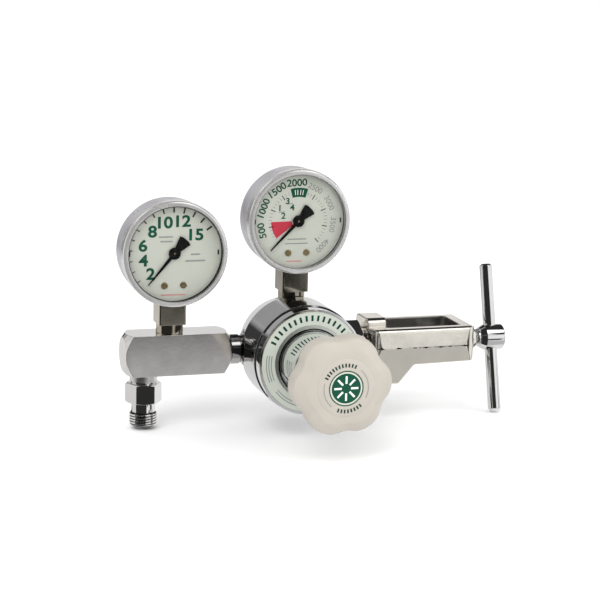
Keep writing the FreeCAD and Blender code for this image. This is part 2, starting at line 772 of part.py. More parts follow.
def gauge(prefix, seat_x, seat_z, stem, rest):
    """One pressure gauge, built round its dial centre and moved to its seat."""
    centre = V(seat_x, 0, seat_z + stem)
    origin = V(0, 0, 0)

    def keep(shape, name):
        shape.translate(centre)
        save(shape, prefix + name)

    inner_r = case_r - case_wall
    floor = case_back - case_wall
    case = turned_deep([(0, case_back), (case_r, case_back, case_round), (case_r, case_front),
                        (inner_r, case_front), (inner_r, floor, case_wall - case_round), (0, floor)], 0)
    case = case.cut(rod(socket_neck_r + press, origin, -Z, case_r + 1))
    keep(case, "case")
    lens_front = case_front - lens_t
    bezel = turned_deep([(case_r + press, bezel_skirt_end), (bezel_r, bezel_skirt_end, -0.25),
                         (bezel_r, bezel_front, bezel_round), (bezel_window_r, bezel_front, bezel_lip_round),
                         (bezel_window_r, lens_front), (case_r + press, lens_front)], 0)
    keep(bezel, "bezel")
    keep(rod(lens_r, V(0, case_front, 0), -Y, lens_t), "lens")

    screw_places = [V(side * dial_screw_right, 0, dial_screw_up) for side in (-1, 1)]
    dial_back = dial_front + dial_t
    dial = ring(dial_r, dial_hole_r, V(0, dial_back, 0), -Y, dial_t)
    screws = []
    for place in screw_places:
        dial = dial.cut(rod(dial_screw_r + press, place + Y * dial_back, -Y, dial_t))
        head = turned([(0, -dial_screw_depth), (dial_screw_r, -dial_screw_depth), (dial_screw_r, 0),
                       (dial_screw_head_r, 0), (dial_screw_head_r, dial_screw_head_t, -0.2),
                       (0, dial_screw_head_t)], place + Y * dial_front, -Y)
        slot = box((place.x - dial_screw_head_r, place.x + dial_screw_head_r),
                   (dial_front - dial_screw_head_t, dial_front - dial_screw_slot),
                   (place.z - dial_screw_slot / 2, place.z + dial_screw_slot / 2))
        screws.append(head.cut(slot))
    keep(dial, "dial")
    keep(Part.makeCompound(screws), "dial_screws")

    right_side = [(pointer_tail_half / 2, -pointer_tail), (pointer_tail_half, -pointer_tail_side),
                  (pointer_root_half, 0), (pointer_tip_half, pointer_tip)]
    needle = right_side + [(-a, b) for a, b in reversed(right_side)]
    pointer = facing_slab(needle, pointer_front, pointer_front + pointer_t)
    pointer = pointer.fuse(rod(pointer_hub_r, V(0, pointer_front + pointer_t, 0), -Y,
                               pointer_front + pointer_t - pointer_hub_front))
    pointer = pointer.removeSplitter().cut(rod(arbor_r + press, V(0, dial_front, 0), -Y, 3))
    pointer.rotate(origin, Y, rest)
    keep(pointer, "pointer")

    pivot = V(0, 0, -gear_module * pinion_teeth * (1 + sector_ratio) / 2)
    tail = pivot + around(tail_angle, tail_length, 0)
    tip = around(lug_angle, tube_r, 0)

    def tube_section(side, deep, start, sweep):
        low, high = tube_r - side / 2, tube_r + side / 2
        corners = [around(start, r, y) for r, y in ((low, -deep), (high, -deep), (high, deep), (low, deep))]
        face = Part.Face(Part.makePolygon(corners + corners[:1]))
        return face.revolve(origin, -Y, sweep)

    half_deep = tube_deep / 2
    tube = tube_section(tube_thick, half_deep, tube_tip_angle, tube_sweep)
    hollow = tube_section(tube_thick - 2 * tube_wall, half_deep - tube_wall, tube_tip_angle + 2, tube_sweep)
    tube = tube.cut(hollow)
    lug_back = lug_front + lug_t
    lug_arc = box((tube_r - lug_inward, tube_r + lug_outward), (lug_front, lug_back), (-lug_drop, 0))
    lug_arc.rotate(origin, -Y, tube_tip_angle + 1.0)
    tube = tube.fuse([lug_arc, rod(link_eye_r, tip + Y * lug_front, Y, lug_t)]).removeSplitter()
    tube = tube.cut(rod(link_pin_r + thread_play, tip + Y * lug_front, Y, lug_t))
    keep(tube, "bourdon_tube")

    socket = box((-block_half, block_half), (-block_depth, block_depth), (block_floor, block_up))
    socket = socket.fuse(rod(socket_neck_r, V(0, 0, square_bottom + 1), Z, block_floor - square_bottom - 1))
    half_square = socket_square / 2
    square = plan_slab([(-half_square, -half_square, 0.8), (half_square, -half_square, 0.8),
                        (half_square, half_square, 0.8), (-half_square, half_square, 0.8)],
                       square_bottom, -case_r + 1.2)
    square = square.cut(rod(bezel_r + press, V(0, bezel_front, 0), Y, case_back - bezel_front))
    shank = turned([(0, -stem - gauge_thread_depth), (gauge_thread_r, -stem - gauge_thread_depth, -0.6),
                    (gauge_thread_r, -stem), (socket_round_r, -stem, -0.3), (socket_round_r, square_bottom),
                    (0, square_bottom)], origin, Z)
    socket = socket.fuse([square, shank]).removeSplitter()
    bore_top = -tube_r
    shank_end = -stem - gauge_thread_depth
    socket = socket.cut(rod(socket_bore_r, V(0, 0, shank_end), Z, bore_top - shank_end))
    socket = socket.cut(rod(tube_port_r, V(0, 0, bore_top), -X, tube_port_reach))
    socket = socket.cut(tube_section(tube_thick + 2 * press, half_deep + press, 180.0, 80.5))
    keep(socket, "socket")

    pitch_sector = gear_module * pinion_teeth * sector_ratio / 2
    pitch_pinion = gear_module * pinion_teeth / 2
    step = 2 * math.pi / pinion_teeth
    teeth = []
    for k in range(pinion_teeth):
        teeth += tooth_points(pitch_pinion, -math.pi / 2 + step * (k + 0.5))
    pinion = facing_slab(teeth, pinion_front, pinion_back)
    pinion = pinion.fuse(rod(arbor_r, V(0, arbor_front, 0), Y, arbor_back - arbor_front)).removeSplitter()
    keep(pinion, "pinion")

    sector_step = step / sector_ratio
    outer = []
    for k in range(-10, 2):
        outer += tooth_points(pitch_sector, math.pi / 2 + sector_step * k)
    low_angle, high_angle = math.pi / 2 - 10.5 * sector_step, math.pi / 2 + 1.5 * sector_step
    root_r = pitch_sector - 1.2 * gear_module
    rim_r = pitch_sector - sector_rim
    first = [(r * math.cos(low_angle), r * math.sin(low_angle)) for r in (rim_r, root_r)]
    last = [(r * math.cos(high_angle), r * math.sin(high_angle)) for r in (root_r, rim_r)]
    inner = []
    for k in range(4, 0, -1):
        a = low_angle + (high_angle - low_angle) * k / 5
        inner.append((rim_r * math.cos(a), rim_r * math.sin(a)))
    rim = facing_slab(first + outer + last + inner, lug_front, lug_front + lug_t)
    spoke_angles = (low_angle + 0.1, high_angle - 0.1)
    pieces = [rod(sector_hub_r, Y * lug_front, Y, lug_t), rod(arbor_r, Y * -arbor_back, Y, 2 * arbor_back)]
    for a in spoke_angles:
        spoke = box((0, rim_r + 0.8), (lug_front, lug_back), (-sector_spoke / 2, sector_spoke / 2))
        spoke.rotate(origin, -Y, math.degrees(a))
        pieces.append(spoke)
    arm = box((0, tail_length), (lug_front, lug_back), (-sector_arm / 2, sector_arm / 2))
    arm.rotate(origin, -Y, tail_angle)
    pieces.append(arm)
    pieces.append(rod(link_eye_r, around(tail_angle, tail_length, lug_front), Y, lug_t))
    sector = rim.fuse(pieces).removeSplitter()
    sector = sector.cut(rod(link_pin_r + thread_play, around(tail_angle, tail_length, lug_front), Y, lug_t))
    sector.translate(pivot)
    keep(sector, "sector_gear")

    link_front = lug_back + link_gap
    reach = tip - tail
    link = box((0, reach.Length), (link_front, link_front + link_t), (-link_half, link_half))
    link.rotate(origin, -Y, math.degrees(math.atan2(reach.z, reach.x)))
    link.translate(tail)
    ends = []
    for place in (tail, tip):
        ends.append(rod(link_eye_r, place + Y * link_front, Y, link_t))
        ends.append(rod(link_pin_r, place + Y * (lug_front - 0.2), Y, link_front + link_t - lug_front + 0.2))
    keep(link.fuse(ends).removeSplitter(), "tip_link")

    front_shape = [(-plate_half, plate_foot, 1.5), (plate_half, plate_foot, 1.5), (plate_half, -13.5, 2.5),
                   (3.5, 0, 4), (0, 4.5, 3), (-7.9, 4.2, 1.6), (-7.9, -3, 3), (-plate_half, -12, 2)]
    arbors = [origin, pivot]
    front_plate = facing_slab(front_shape, -plate_gap - movement_t, -plate_gap)
    post_front = dial_back
    post_hole_depth = dial_screw_depth - dial_t + 0.5
    posts = [rod(plate_post_r, place + Y * post_front, Y, -plate_gap - post_front) for place in screw_places]
    front_plate = front_plate.fuse(posts).removeSplitter()
    for place in screw_places:
        front_plate = front_plate.cut(rod(dial_screw_r + press, place + Y * post_front, Y, post_hole_depth))
    for place in arbors:
        front_plate = front_plate.cut(rod(arbor_r + thread_play, place - Y * 6, Y, 3))
    keep(front_plate, "front_plate")
    rear_shape = [(-block_half, -24, 1), (block_half, -24, 1), (block_half, -14, 3), (3.5, 0, 4), (0, 4.5, 3),
                  (-7.9, 4.2, 1.6), (-7.9, -3, 3), (-block_half, -12, 2)]
    rear_plate = facing_slab(rear_shape, plate_gap, plate_gap + movement_t)
    pillars = [rod(pillar_r, V(pillar_left, -plate_gap, pillar_up), Y, 2 * plate_gap)]
    rear_plate = rear_plate.fuse(pillars).removeSplitter()
    for place in arbors:
        rear_plate = rear_plate.cut(rod(arbor_r + thread_play, place + Y * 3, Y, 3))
    keep(rear_plate, "rear_plate")

    def spiral(offset):
        """Spiral of half circles, each wider than the last by the same step."""
        growth = (hairspring_out - hairspring_in) / hairspring_halves
        half_turns = []
        for k in range(hairspring_halves):
            side = 1 if k % 2 == 0 else -1
            first = side * (hairspring_in + growth * k + offset)
            last = -side * (hairspring_in + growth * (k + 1) + offset)
            crown = V((first + last) / 2, hairspring_front, side * abs(first - last) / 2)
            ends = V(first, hairspring_front, 0), V(last, hairspring_front, 0)
            half_turns.append(Part.Arc(ends[0], crown, ends[1]).toShape())
        return half_turns

    def strip_end(reach):
        low = V(reach - hairspring_t / 2, hairspring_front, 0)
        return Part.makeLine(low, low + X * hairspring_t)

    strip = spiral(hairspring_t / 2) + spiral(-hairspring_t / 2)
    strip += [strip_end(hairspring_in), strip_end(hairspring_out)]
    hairspring = Part.Face(Part.Wire(Part.__sortEdges__(strip))).extrude(Y * hairspring_width)
    keep(hairspring, "hairspring")


regulator_body()
relief_valve()
valve_parts()
bonnet()
bonnet_inside()
knob()
inlet_stem()
index_pins()
yoke()
tee_screw()
outlet_side()
connecting_nipple()
gauge("flow_", flow_gauge_x, block_top, flow_stem, flow_pointer_rest)
gauge("contents_", body_x, top_seat_reach, contents_stem, contents_pointer_rest)
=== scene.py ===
import json
import math

import bpy
from mathutils import Matrix, Vector


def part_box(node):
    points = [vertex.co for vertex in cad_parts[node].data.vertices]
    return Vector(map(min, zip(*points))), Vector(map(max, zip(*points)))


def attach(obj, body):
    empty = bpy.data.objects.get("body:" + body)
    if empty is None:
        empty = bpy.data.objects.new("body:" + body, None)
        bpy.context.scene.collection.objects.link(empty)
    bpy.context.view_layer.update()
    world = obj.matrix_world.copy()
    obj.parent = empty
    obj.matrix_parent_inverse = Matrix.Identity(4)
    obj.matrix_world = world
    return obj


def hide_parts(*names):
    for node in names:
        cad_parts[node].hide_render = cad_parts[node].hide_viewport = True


# Looks of the oxygen regulator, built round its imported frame. Metres; MM turns millimetres into them.

MM = 0.001
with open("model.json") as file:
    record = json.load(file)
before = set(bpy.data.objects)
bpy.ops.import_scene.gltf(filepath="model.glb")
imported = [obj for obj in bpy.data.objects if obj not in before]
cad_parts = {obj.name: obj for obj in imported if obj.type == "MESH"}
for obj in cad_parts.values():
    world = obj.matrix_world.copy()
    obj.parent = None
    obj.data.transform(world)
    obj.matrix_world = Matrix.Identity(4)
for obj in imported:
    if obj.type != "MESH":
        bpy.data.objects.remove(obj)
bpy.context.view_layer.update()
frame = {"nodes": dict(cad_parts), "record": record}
scene = bpy.context.scene
nodes = frame["nodes"]

# Camera, from the photograph
camera_place = Vector((-0.340525, -0.900408, 0.220363))
camera_azimuth = -18.0
camera_elevation = 11.66
camera_roll = 1.53
camera_lens = 108.97

floor_level = -0.0403

# Axes of the bonnet and of the outlet, in millimetres
bonnet_x = -53.0
outlet_x = -132.8


def span(node):
    low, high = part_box(node)
    return low, high, (low + high) / 2


def front(node):
    """Middle of a node seen from the front, and the depth of its front, in millimetres."""
    low, _, middle = span(node)
    return (middle.x / MM, middle.z / MM), low.y / MM


# Materials

def opened(made):
    """Nodes, links and shader of a material."""
    tree = made.node_tree
    return tree.nodes, tree.links, tree.nodes["Principled BSDF"]


def new_material(name):
    made = bpy.data.materials.new(name)
    made.use_nodes = True
    return (made, *opened(made))


def mottled(tree_nodes, links, scale, low, high, detail=3.0):
    """Noise in the object's own coordinates, spread between two values."""
    noise_low, noise_high = 0.3, 0.7
    place = tree_nodes.new("ShaderNodeTexCoord")
    noise = tree_nodes.new("ShaderNodeTexNoise")
    noise.inputs["Scale"].default_value = scale
    noise.inputs["Detail"].default_value = detail
    links.new(place.outputs["Object"], noise.inputs["Vector"])
    spread = tree_nodes.new("ShaderNodeMapRange")
    spread.inputs["From Min"].default_value = noise_low
    spread.inputs["From Max"].default_value = noise_high
    spread.inputs["To Min"].default_value = low
    spread.inputs["To Max"].default_value = high
    links.new(noise.outputs["Fac"], spread.inputs["Value"])
    return spread.outputs["Result"]


def tinted(tree_nodes, links, scale, first, second):
    """Two near colours mixed by soft noise."""
    mix = tree_nodes.new("ShaderNodeMix")
    mix.data_type = "RGBA"
    mix.inputs["A"].default_value = (*first, 1)
    mix.inputs["B"].default_value = (*second, 1)
    links.new(mottled(tree_nodes, links, scale, 0.0, 1.0), mix.inputs["Factor"])
    return mix.outputs["Result"]


def relief(tree_nodes, links, shader, scale, distance, edge):
    """Fine bump over softly rounded edges."""
    bump = tree_nodes.new("ShaderNodeBump")
    bump.inputs["Strength"].default_value = 1.0
    bump.inputs["Distance"].default_value = distance
    links.new(mottled(tree_nodes, links, scale, 0.0, 1.0, 4.0), bump.inputs["Height"])
    if edge:
        bevel = tree_nodes.new("ShaderNodeBevel")
        bevel.samples = 6
        bevel.inputs["Radius"].default_value = edge
        links.new(bevel.outputs["Normal"], bump.inputs["Normal"])
    links.new(bump.outputs["Normal"], shader.inputs["Normal"])


def metal(name, colour, rough, wear=0.06, grain=900.0, depth=0.000002, edge=0.0003, shine=1.0):
    made, tree_nodes, links, shader = new_material(name)
    shader.inputs["Metallic"].default_value = shine
    darker = [c * (1 - wear) for c in colour]
    links.new(tinted(tree_nodes, links, 90.0, darker, colour), shader.inputs["Base Color"])
    links.new(mottled(tree_nodes, links, 140.0, rough * 0.75, rough * 1.3), shader.inputs["Roughness"])
    relief(tree_nodes, links, shader, grain, depth, edge)
    return made


def place_axis(tree_nodes, links, axis):
    """One coordinate of the shaded point in the object's own frame, in metres."""
    place = tree_nodes.new("ShaderNodeTexCoord")
    split = tree_nodes.new("ShaderNodeSeparateXYZ")
    links.new(place.outputs["Object"], split.inputs["Vector"])
    return split.outputs[axis]


def maths(tree_nodes, links, kind, first, second):
    """One operation on two sockets or numbers."""
    node = tree_nodes.new("ShaderNodeMath")
    node.operation = kind
    for slot, value in enumerate((first, second)):
        if isinstance(value, (int, float)):
            node.inputs[slot].default_value = value
        else:
            links.new(value, node.inputs[slot])
    return node.outputs["Value"]


def ramp(tree_nodes, links, value, low, high):
    """0 below low, 1 above high, smooth between."""
    spread = tree_nodes.new("ShaderNodeMapRange")
    spread.interpolation_type = "SMOOTHSTEP"
    spread.inputs["From Min"].default_value = low
    spread.inputs["From Max"].default_value = high
    links.new(value, spread.inputs["Value"])
    return spread.outputs["Result"]


def over(tree_nodes, links, shader, socket, share, value):
    """Mix a new value into a shader socket by a share between 0 and 1."""
    before = shader.inputs[socket].links[0].from_socket
    mix = tree_nodes.new("ShaderNodeMix")
    mix.data_type = "RGBA" if socket == "Base Color" else "FLOAT"
    links.new(before, mix.inputs["A"])
    mix.inputs["B"].default_value = value
    links.new(share, mix.inputs["Factor"])
    links.new(mix.outputs["Result"], shader.inputs[socket])


def plastic(name, first, second, rough, grain=1500.0, depth=0.00001, edge=0.0002, sheen=0.5):
    made, tree_nodes, links, shader = new_material(name)
    shader.inputs["Specular IOR Level"].default_value = sheen
    links.new(tinted(tree_nodes, links, 60.0, first, second), shader.inputs["Base Color"])
    links.new(mottled(tree_nodes, links, 200.0, rough * 0.85, rough * 1.15), shader.inputs["Roughness"])
    relief(tree_nodes, links, shader, grain, depth, edge)
    return made


def clear_lens(name):
    """Clear window: light passes straight through, and reflections grow towards grazing angles."""
    lens_rough, edge_power, edge_share, least_share = 0.03, 5.0, 0.6, 0.015
    made, tree_nodes, links, shader = new_material(name)
    tree_nodes.remove(shader)
    clear = tree_nodes.new("ShaderNodeBsdfTransparent")
    gloss = tree_nodes.new("ShaderNodeBsdfGlossy")
    gloss.inputs["Roughness"].default_value = lens_rough
    facing = tree_nodes.new("ShaderNodeLayerWeight")
    grazing = maths(tree_nodes, links, "POWER", facing.outputs["Facing"], edge_power)
    mirrored = maths(tree_nodes, links, "MULTIPLY", grazing, edge_share)
    share = maths(tree_nodes, links, "ADD", mirrored, least_share)
    mix = tree_nodes.new("ShaderNodeMixShader")
    links.new(share, mix.inputs["Fac"])
    links.new(clear.outputs["BSDF"], mix.inputs[1])
    links.new(gloss.outputs["BSDF"], mix.inputs[2])
    links.new(mix.outputs["Shader"], tree_nodes["Material Output"].inputs["Surface"])
    return made


looks = {
    "body_plating": metal("body chrome", (0.7, 0.7, 0.7), 0.06),
    "bonnet_chrome": metal("bonnet chrome", (0.85, 0.85, 0.86), 0.05),
    "fitting_plating": metal("fitting chrome", (0.82, 0.81, 0.8), 0.06),
    "nipple_plating": metal("nipple chrome", (0.42, 0.41, 0.4), 0.07),
    "block_plating": metal("block chrome", (0.83, 0.81, 0.79), 0.1, grain=500.0),
    "yoke_plating": metal("yoke chrome", (0.87, 0.83, 0.75), 0.12,
                          grain=260.0, depth=0.000012, edge=0.0012),
    "tee_plating": metal("tee chrome", (0.79, 0.79, 0.79), 0.05),
    "pin_steel": metal("ground steel", (0.55, 0.55, 0.56), 0.25),
    "label_ring": plastic("label foil", (0.53, 0.57, 0.5), (0.57, 0.61, 0.54), 0.35, depth=0.0),
    "diaphragm_rubber": plastic("rubber", (0.02, 0.02, 0.02), (0.03, 0.03, 0.03), 0.7),
    "plain_brass": metal("brass", (0.5, 0.4, 0.22), 0.35),
    "spring_steel": metal("spring steel", (0.3, 0.3, 0.32), 0.3),
    "knob_plastic": plastic("knob plastic", (0.45, 0.418, 0.368), (0.475, 0.442, 0.392), 0.42,
                            sheen=0.45),
    "knob_badge": plastic("badge white", (0.56, 0.56, 0.49), (0.59, 0.59, 0.52), 0.4, depth=0.0),
    "sintered_bronze": metal("sintered bronze", (0.4, 0.27, 0.14), 0.6, depth=0.0001),
    "washer_plastic": plastic("washer", (0.8, 0.79, 0.74), (0.84, 0.83, 0.78), 0.5),
    "gauge_case": metal("case lacquer", (0.6, 0.59, 0.62), 0.36,
                        grain=300.0, depth=0.000008, edge=0.0004, shine=0.55),
    "gauge_bezel": metal("bezel steel", (0.78, 0.77, 0.76), 0.24, shine=0.7),
    "gauge_lens": clear_lens("clear lens"),
    "gauge_dial": plastic("dial white", (0.44, 0.455, 0.395), (0.475, 0.49, 0.43), 0.6, depth=0.0),
    "pointer_black": plastic("pointer black", (0.004, 0.004, 0.004), (0.007, 0.007, 0.007), 0.6,
                             sheen=0.15),
    "socket_plating": metal("warm nickel", (0.62, 0.57, 0.47), 0.1),
    # Painted shade: the warm nickel of the other socket, darkened to stand in for the shade on the
    # contents socket.
    "contents_socket_plating": metal("nickel with painted shade", (0.34, 0.32, 0.26), 0.08),
    "bourdon_bronze": metal("phosphor bronze", (0.55, 0.36, 0.18), 0.3),
}


def ink(name, first, second, rough=0.5, sheen=0.5):
    """Printed colour: smooth, with no edges to round."""
    return plastic(name, first, second, rough, depth=0.0, edge=0, sheen=sheen)


inks = {
    "green": ink("green ink", (0.003, 0.065, 0.035), (0.004, 0.078, 0.042), 0.6, 0.2),
    "dark_green": ink("dark green ink", (0.002, 0.034, 0.018), (0.003, 0.042, 0.023), 0.6, 0.2),
    "red": ink("red ink", (0.42, 0.014, 0.035), (0.47, 0.018, 0.045)),
    "pale_red": ink("pale red ink", (0.5, 0.2, 0.2), (0.55, 0.25, 0.24)),
    "black": ink("black ink", (0.012, 0.012, 0.012), (0.02, 0.02, 0.02)),
    "grey": ink("grey ink", (0.2, 0.21, 0.2), (0.25, 0.26, 0.25)),
    "white": ink("white ink", (0.8, 0.84, 0.78), (0.84, 0.88, 0.82)),
}


def axis_distance(tree_nodes, links, axes, centre):
    """Distance of the shaded point from a line that crosses the plane of two axes at a centre."""
    squares = []
    for axis, middle in zip(axes, centre):
        side = maths(tree_nodes, links, "SUBTRACT", place_axis(tree_nodes, links, axis), middle)
        squares.append(maths(tree_nodes, links, "MULTIPLY", side, side))
    return maths(tree_nodes, links, "SQRT", maths(tree_nodes, links, "ADD", *squares), 0.0)


def bonnet_rings(made):
    """Turned, unpolished ring between the label and the neck, and a painted dark band of shade at the
    neck's foot.
    """
    face_start, face_end, ring_r, foot_shade_r = -38.35, -38.2, 19.6, 17.95
    tree_nodes, links, shader = opened(made)
    depth = place_axis(tree_nodes, links, "Y")
    behind = ramp(tree_nodes, links, depth, face_start * MM, face_end * MM)
    reach = axis_distance(tree_nodes, links, "XZ", (bonnet_x * MM, 0.0))
    inner = maths(tree_nodes, links, "LESS_THAN", reach, ring_r * MM)
    face = maths(tree_nodes, links, "MULTIPLY", behind, inner)
    over(tree_nodes, links, shader, "Roughness", face, 0.75)
    over(tree_nodes, links, shader, "Base Color", face, (0.92, 0.95, 0.9, 1))
    # Painted shade: a dark, glossy band at the foot of the neck stands in for the shade there.
    near = maths(tree_nodes, links, "LESS_THAN", reach, foot_shade_r * MM)
    foot_shade = maths(tree_nodes, links, "MULTIPLY", face, near)
    over(tree_nodes, links, shader, "Roughness", foot_shade, 0.2)
    over(tree_nodes, links, shader, "Base Color", foot_shade, (0.03, 0.03, 0.03, 1))


def yoke_details(made):
    """Painted dark line of shade along the crease at the arms' parting line, and darker, rougher plating
    inside the window.
    """
    window_y, window_start, window_end = 11.9, -2.2, 40.5
    line_z, line_least, line_most, arm_outside = 0.1, -0.25, 0.55, 16.5
    tree_nodes, links, shader = opened(made)
    along = place_axis(tree_nodes, links, "X")
    across = maths(tree_nodes, links, "ABSOLUTE", place_axis(tree_nodes, links, "Y"), 0.0)
    height = place_axis(tree_nodes, links, "Z")
    inside = maths(tree_nodes, links, "LESS_THAN", across, window_y * MM)
    after = maths(tree_nodes, links, "GREATER_THAN", along, window_start * MM)
    before = maths(tree_nodes, links, "LESS_THAN", along, window_end * MM)
    between = maths(tree_nodes, links, "MULTIPLY", after, before)
    window = maths(tree_nodes, links, "MULTIPLY", inside, between)
    over(tree_nodes, links, shader, "Base Color", window, (0.36, 0.35, 0.33, 1))
    over(tree_nodes, links, shader, "Roughness", window, 0.3)
    rise = maths(tree_nodes, links, "SUBTRACT", height, line_z * MM)
    off = maths(tree_nodes, links, "ABSOLUTE", rise, 0.0)
    wander = mottled(tree_nodes, links, 420.0, line_least * MM, line_most * MM)
    line = maths(tree_nodes, links, "LESS_THAN", off, wander)
    outside = maths(tree_nodes, links, "GREATER_THAN", across, arm_outside * MM)
    # Painted shade: a near-black line that wanders along the crease of the arms.
    crease_shade = maths(tree_nodes, links, "MULTIPLY", line, outside)
    over(tree_nodes, links, shader, "Base Color", crease_shade, (0.03, 0.028, 0.025, 1))
    over(tree_nodes, links, shader, "Roughness", crease_shade, 0.5)


def thread_valley_shade(made):
    """Painted shade down in the valleys of the hose thread."""
    thread_top, valley_r, crest_r = -30.9, 6.7, 7.12
    tree_nodes, links, shader = opened(made)
    low = maths(tree_nodes, links, "LESS_THAN", place_axis(tree_nodes, links, "Z"), thread_top * MM)
    reach = axis_distance(tree_nodes, links, "XY", (outlet_x * MM, 0.0))
    crest = ramp(tree_nodes, links, reach, valley_r * MM, crest_r * MM)
    valley = maths(tree_nodes, links, "SUBTRACT", 1.0, crest)
    # Painted shade: near-black colour in the thread's valleys.
    dark = maths(tree_nodes, links, "MULTIPLY", low, valley)
    over(tree_nodes, links, shader, "Base Color", dark, (0.05, 0.05, 0.045, 1))


def cast_boss(made):
    """Unpolished boss under the outlet block."""
    boss_top = -10.9
    tree_nodes, links, shader = opened(made)
    below = maths(tree_nodes, links, "LESS_THAN", place_axis(tree_nodes, links, "Z"), boss_top * MM)
    over(tree_nodes, links, shader, "Roughness", below, 0.5)
    over(tree_nodes, links, shader, "Base Color", below, (0.95, 0.93, 0.9, 1))


bonnet_rings(looks["bonnet_chrome"])
thread_valley_shade(looks["fitting_plating"])
cast_boss(looks["block_plating"])
yoke_details(looks["yoke_plating"])

for part in frame["record"]["subparts"]:
    node = nodes[part["node"]]
    node.data.materials.clear()
    node.data.materials.append(looks[part["material_slot"]])
    node.data.shade_smooth()


# Mesh helpers

def piece(name, points, faces, look, body, slot, sharp=32.0):
    """Mesh from points in millimetres; it rides on a CAD body."""
    mesh = bpy.data.meshes.new(name)
    mesh.from_pydata([Vector(p) * MM for p in points], [], faces)
    mesh.validate()
    mesh.shade_smooth()
    mesh.set_sharp_from_angle(angle=math.radians(sharp))
    mesh.materials.append(look)
    made = bpy.data.objects.new(name, mesh)
    scene.collection.objects.link(made)
    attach(made, body)
    return made


def rounded(points, steps=5):
    """Open outline whose corners may carry a radius as a third value."""
    out = []
    for i, point in enumerate(points):
        here = Vector(point[:2])
        if len(point) == 2 or i in (0, len(points) - 1):
            out.append(tuple(here))
            continue
        before = (Vector(points[i - 1][:2]) - here).normalized()
        after = (Vector(points[i + 1][:2]) - here).normalized()
        half = before.angle(after) / 2
        centre = here + (before + after).normalized() * (point[2] / math.sin(half))
        start = here + before * (point[2] / math.tan(half)) - centre
        end = here + after * (point[2] / math.tan(half)) - centre
        sweep = start.angle_signed(end)
        for k in range(steps + 1):
            out.append(tuple(centre + Matrix.Rotation(-sweep * k / steps, 2) @ start))
    return out


def skin(rings, closed_start=True, closed_end=True):
    """Points and faces of a tube through rings of equal count."""
    count = len(rings[0])
    points = [p for ring in rings for p in ring]
    faces = []
    for i in range(len(rings) - 1):
        a, b = i * count, (i + 1) * count
        for k in range(count):
            n = (k + 1) % count
            faces.append((a + k, a + n, b + n, b + k))
    if closed_start:
        faces.append(tuple(reversed(range(count))))
    if closed_end:
        faces.append(tuple(range(len(points) - count, len(points))))
    return points, faces


def turned_rings(profile, centre, along, across, steps, shape=None):
    """Rings for (radius, height) points; shape(angle, radius, height) may change the radius."""
    side = along.cross(across)
    rings = []
    for r, h in profile:
        ring = []
        for k in range(steps):
            a = 2 * math.pi * k / steps
            reach = shape(a, r, h) if shape else r
            ring.append(centre + along * h + (across * math.cos(a) + side * math.sin(a)) * reach)
        rings.append(ring)
    return rings


def joined(parts):
    points, faces = [], []
    for more_points, more_faces in parts:
        base = len(points)
        points += more_points
        faces += [tuple(base + i for i in face) for face in more_faces]
    return points, faces


def thread(root, crest, pitch, start, end, runout):
    """Radius of a threaded rod by angle and height, fading to the root at its ends."""
    def radius(angle, r, h):
        if r < root - 1e-6:
            return r
        phase = (h / pitch - angle / (2 * math.pi)) % 1.0
        height = max(0.0, min(1.0, 2.4 - abs(phase - 0.5) * 4.8))
        fade = max(0.0, min(1.0, (h - start) / runout, (end - h) / runout))
        return root + (crest - root) * height * fade
    return radius


def heights(start, end, step):
    count = max(1, round((end - start) / step))
    return [start + (end - start) * k / count for k in range(count + 1)]


def hex_shape(flats, chamfer, start, end):
    """Radius of a hexagonal bar with turned end chamfers."""
    corner = flats / math.sqrt(3)
    rise = math.tan(math.radians(30))

    def radius(angle, r, h):
        turn = (angle + math.pi / 6) % (math.pi / 3) - math.pi / 6
        flat = flats / 2 / math.cos(math.pi / 6 - abs(turn))
        near = min(h - start, end - h)
        return min(flat, corner - chamfer + max(0.0, near) / rise)
    return radius


X, Y, Z = Vector((1, 0, 0)), Vector((0, 1, 0)), Vector((0, 0, 1))


# Outlet fitting with its hose thread

def outlet_fitting():
    low, high, middle = span("outlet_fitting")
    centre = Vector((middle.x / MM, middle.y / MM, 0))
    bottom, top = low.z / MM, high.z / MM
    crest, root, pitch = 7.14, 6.35, 1.41
    thread_top, hex_low, hex_high, neck, collar = -31.0, -25.8, -15.6, 6.25, 6.6
    bore, bore_depth, collar_top, spigot = 4.2, 7, -14.5, 5.4
    flats, chamfer, past_corner = 16.7, 1.0, 9
    insets = (0.0, 0.06, 0.2, 0.4, 0.6)
    corner = math.radians(-5.0)
    across = Vector((math.cos(corner), math.sin(corner), 0))
    rod = [(bore, bottom + bore_depth), (bore, bottom), (root - 0.3, bottom)]
    rod += [(root, h) for h in heights(bottom + 0.3, thread_top, 0.12)]
    rod += [(neck - 0.02, thread_top + 0.2), (neck - 0.02, hex_low + 0.3)]
    shape = thread(root, crest, pitch, bottom + 0.2, thread_top, 0.9)
    parts = [skin(turned_rings(rod, centre, Z, across, 96, shape))]
    levels = [hex_low + inset for inset in insets]
    levels += [hex_high - inset for inset in reversed(insets)]
    hexagon = turned_rings([(past_corner, h) for h in levels], centre, Z, across, 144,
                           hex_shape(flats, chamfer, hex_low, hex_high))
    parts.append(skin(hexagon))
    end = [(collar, hex_high - 0.5), (collar, collar_top), (spigot, collar_top), (spigot, top)]
    parts.append(skin(turned_rings(end, centre, Z, across, 64)))
    made = piece("outlet_fitting_look", *joined(parts), looks["fitting_plating"],
                 "frame", "fitting_plating")
    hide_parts("outlet_fitting")


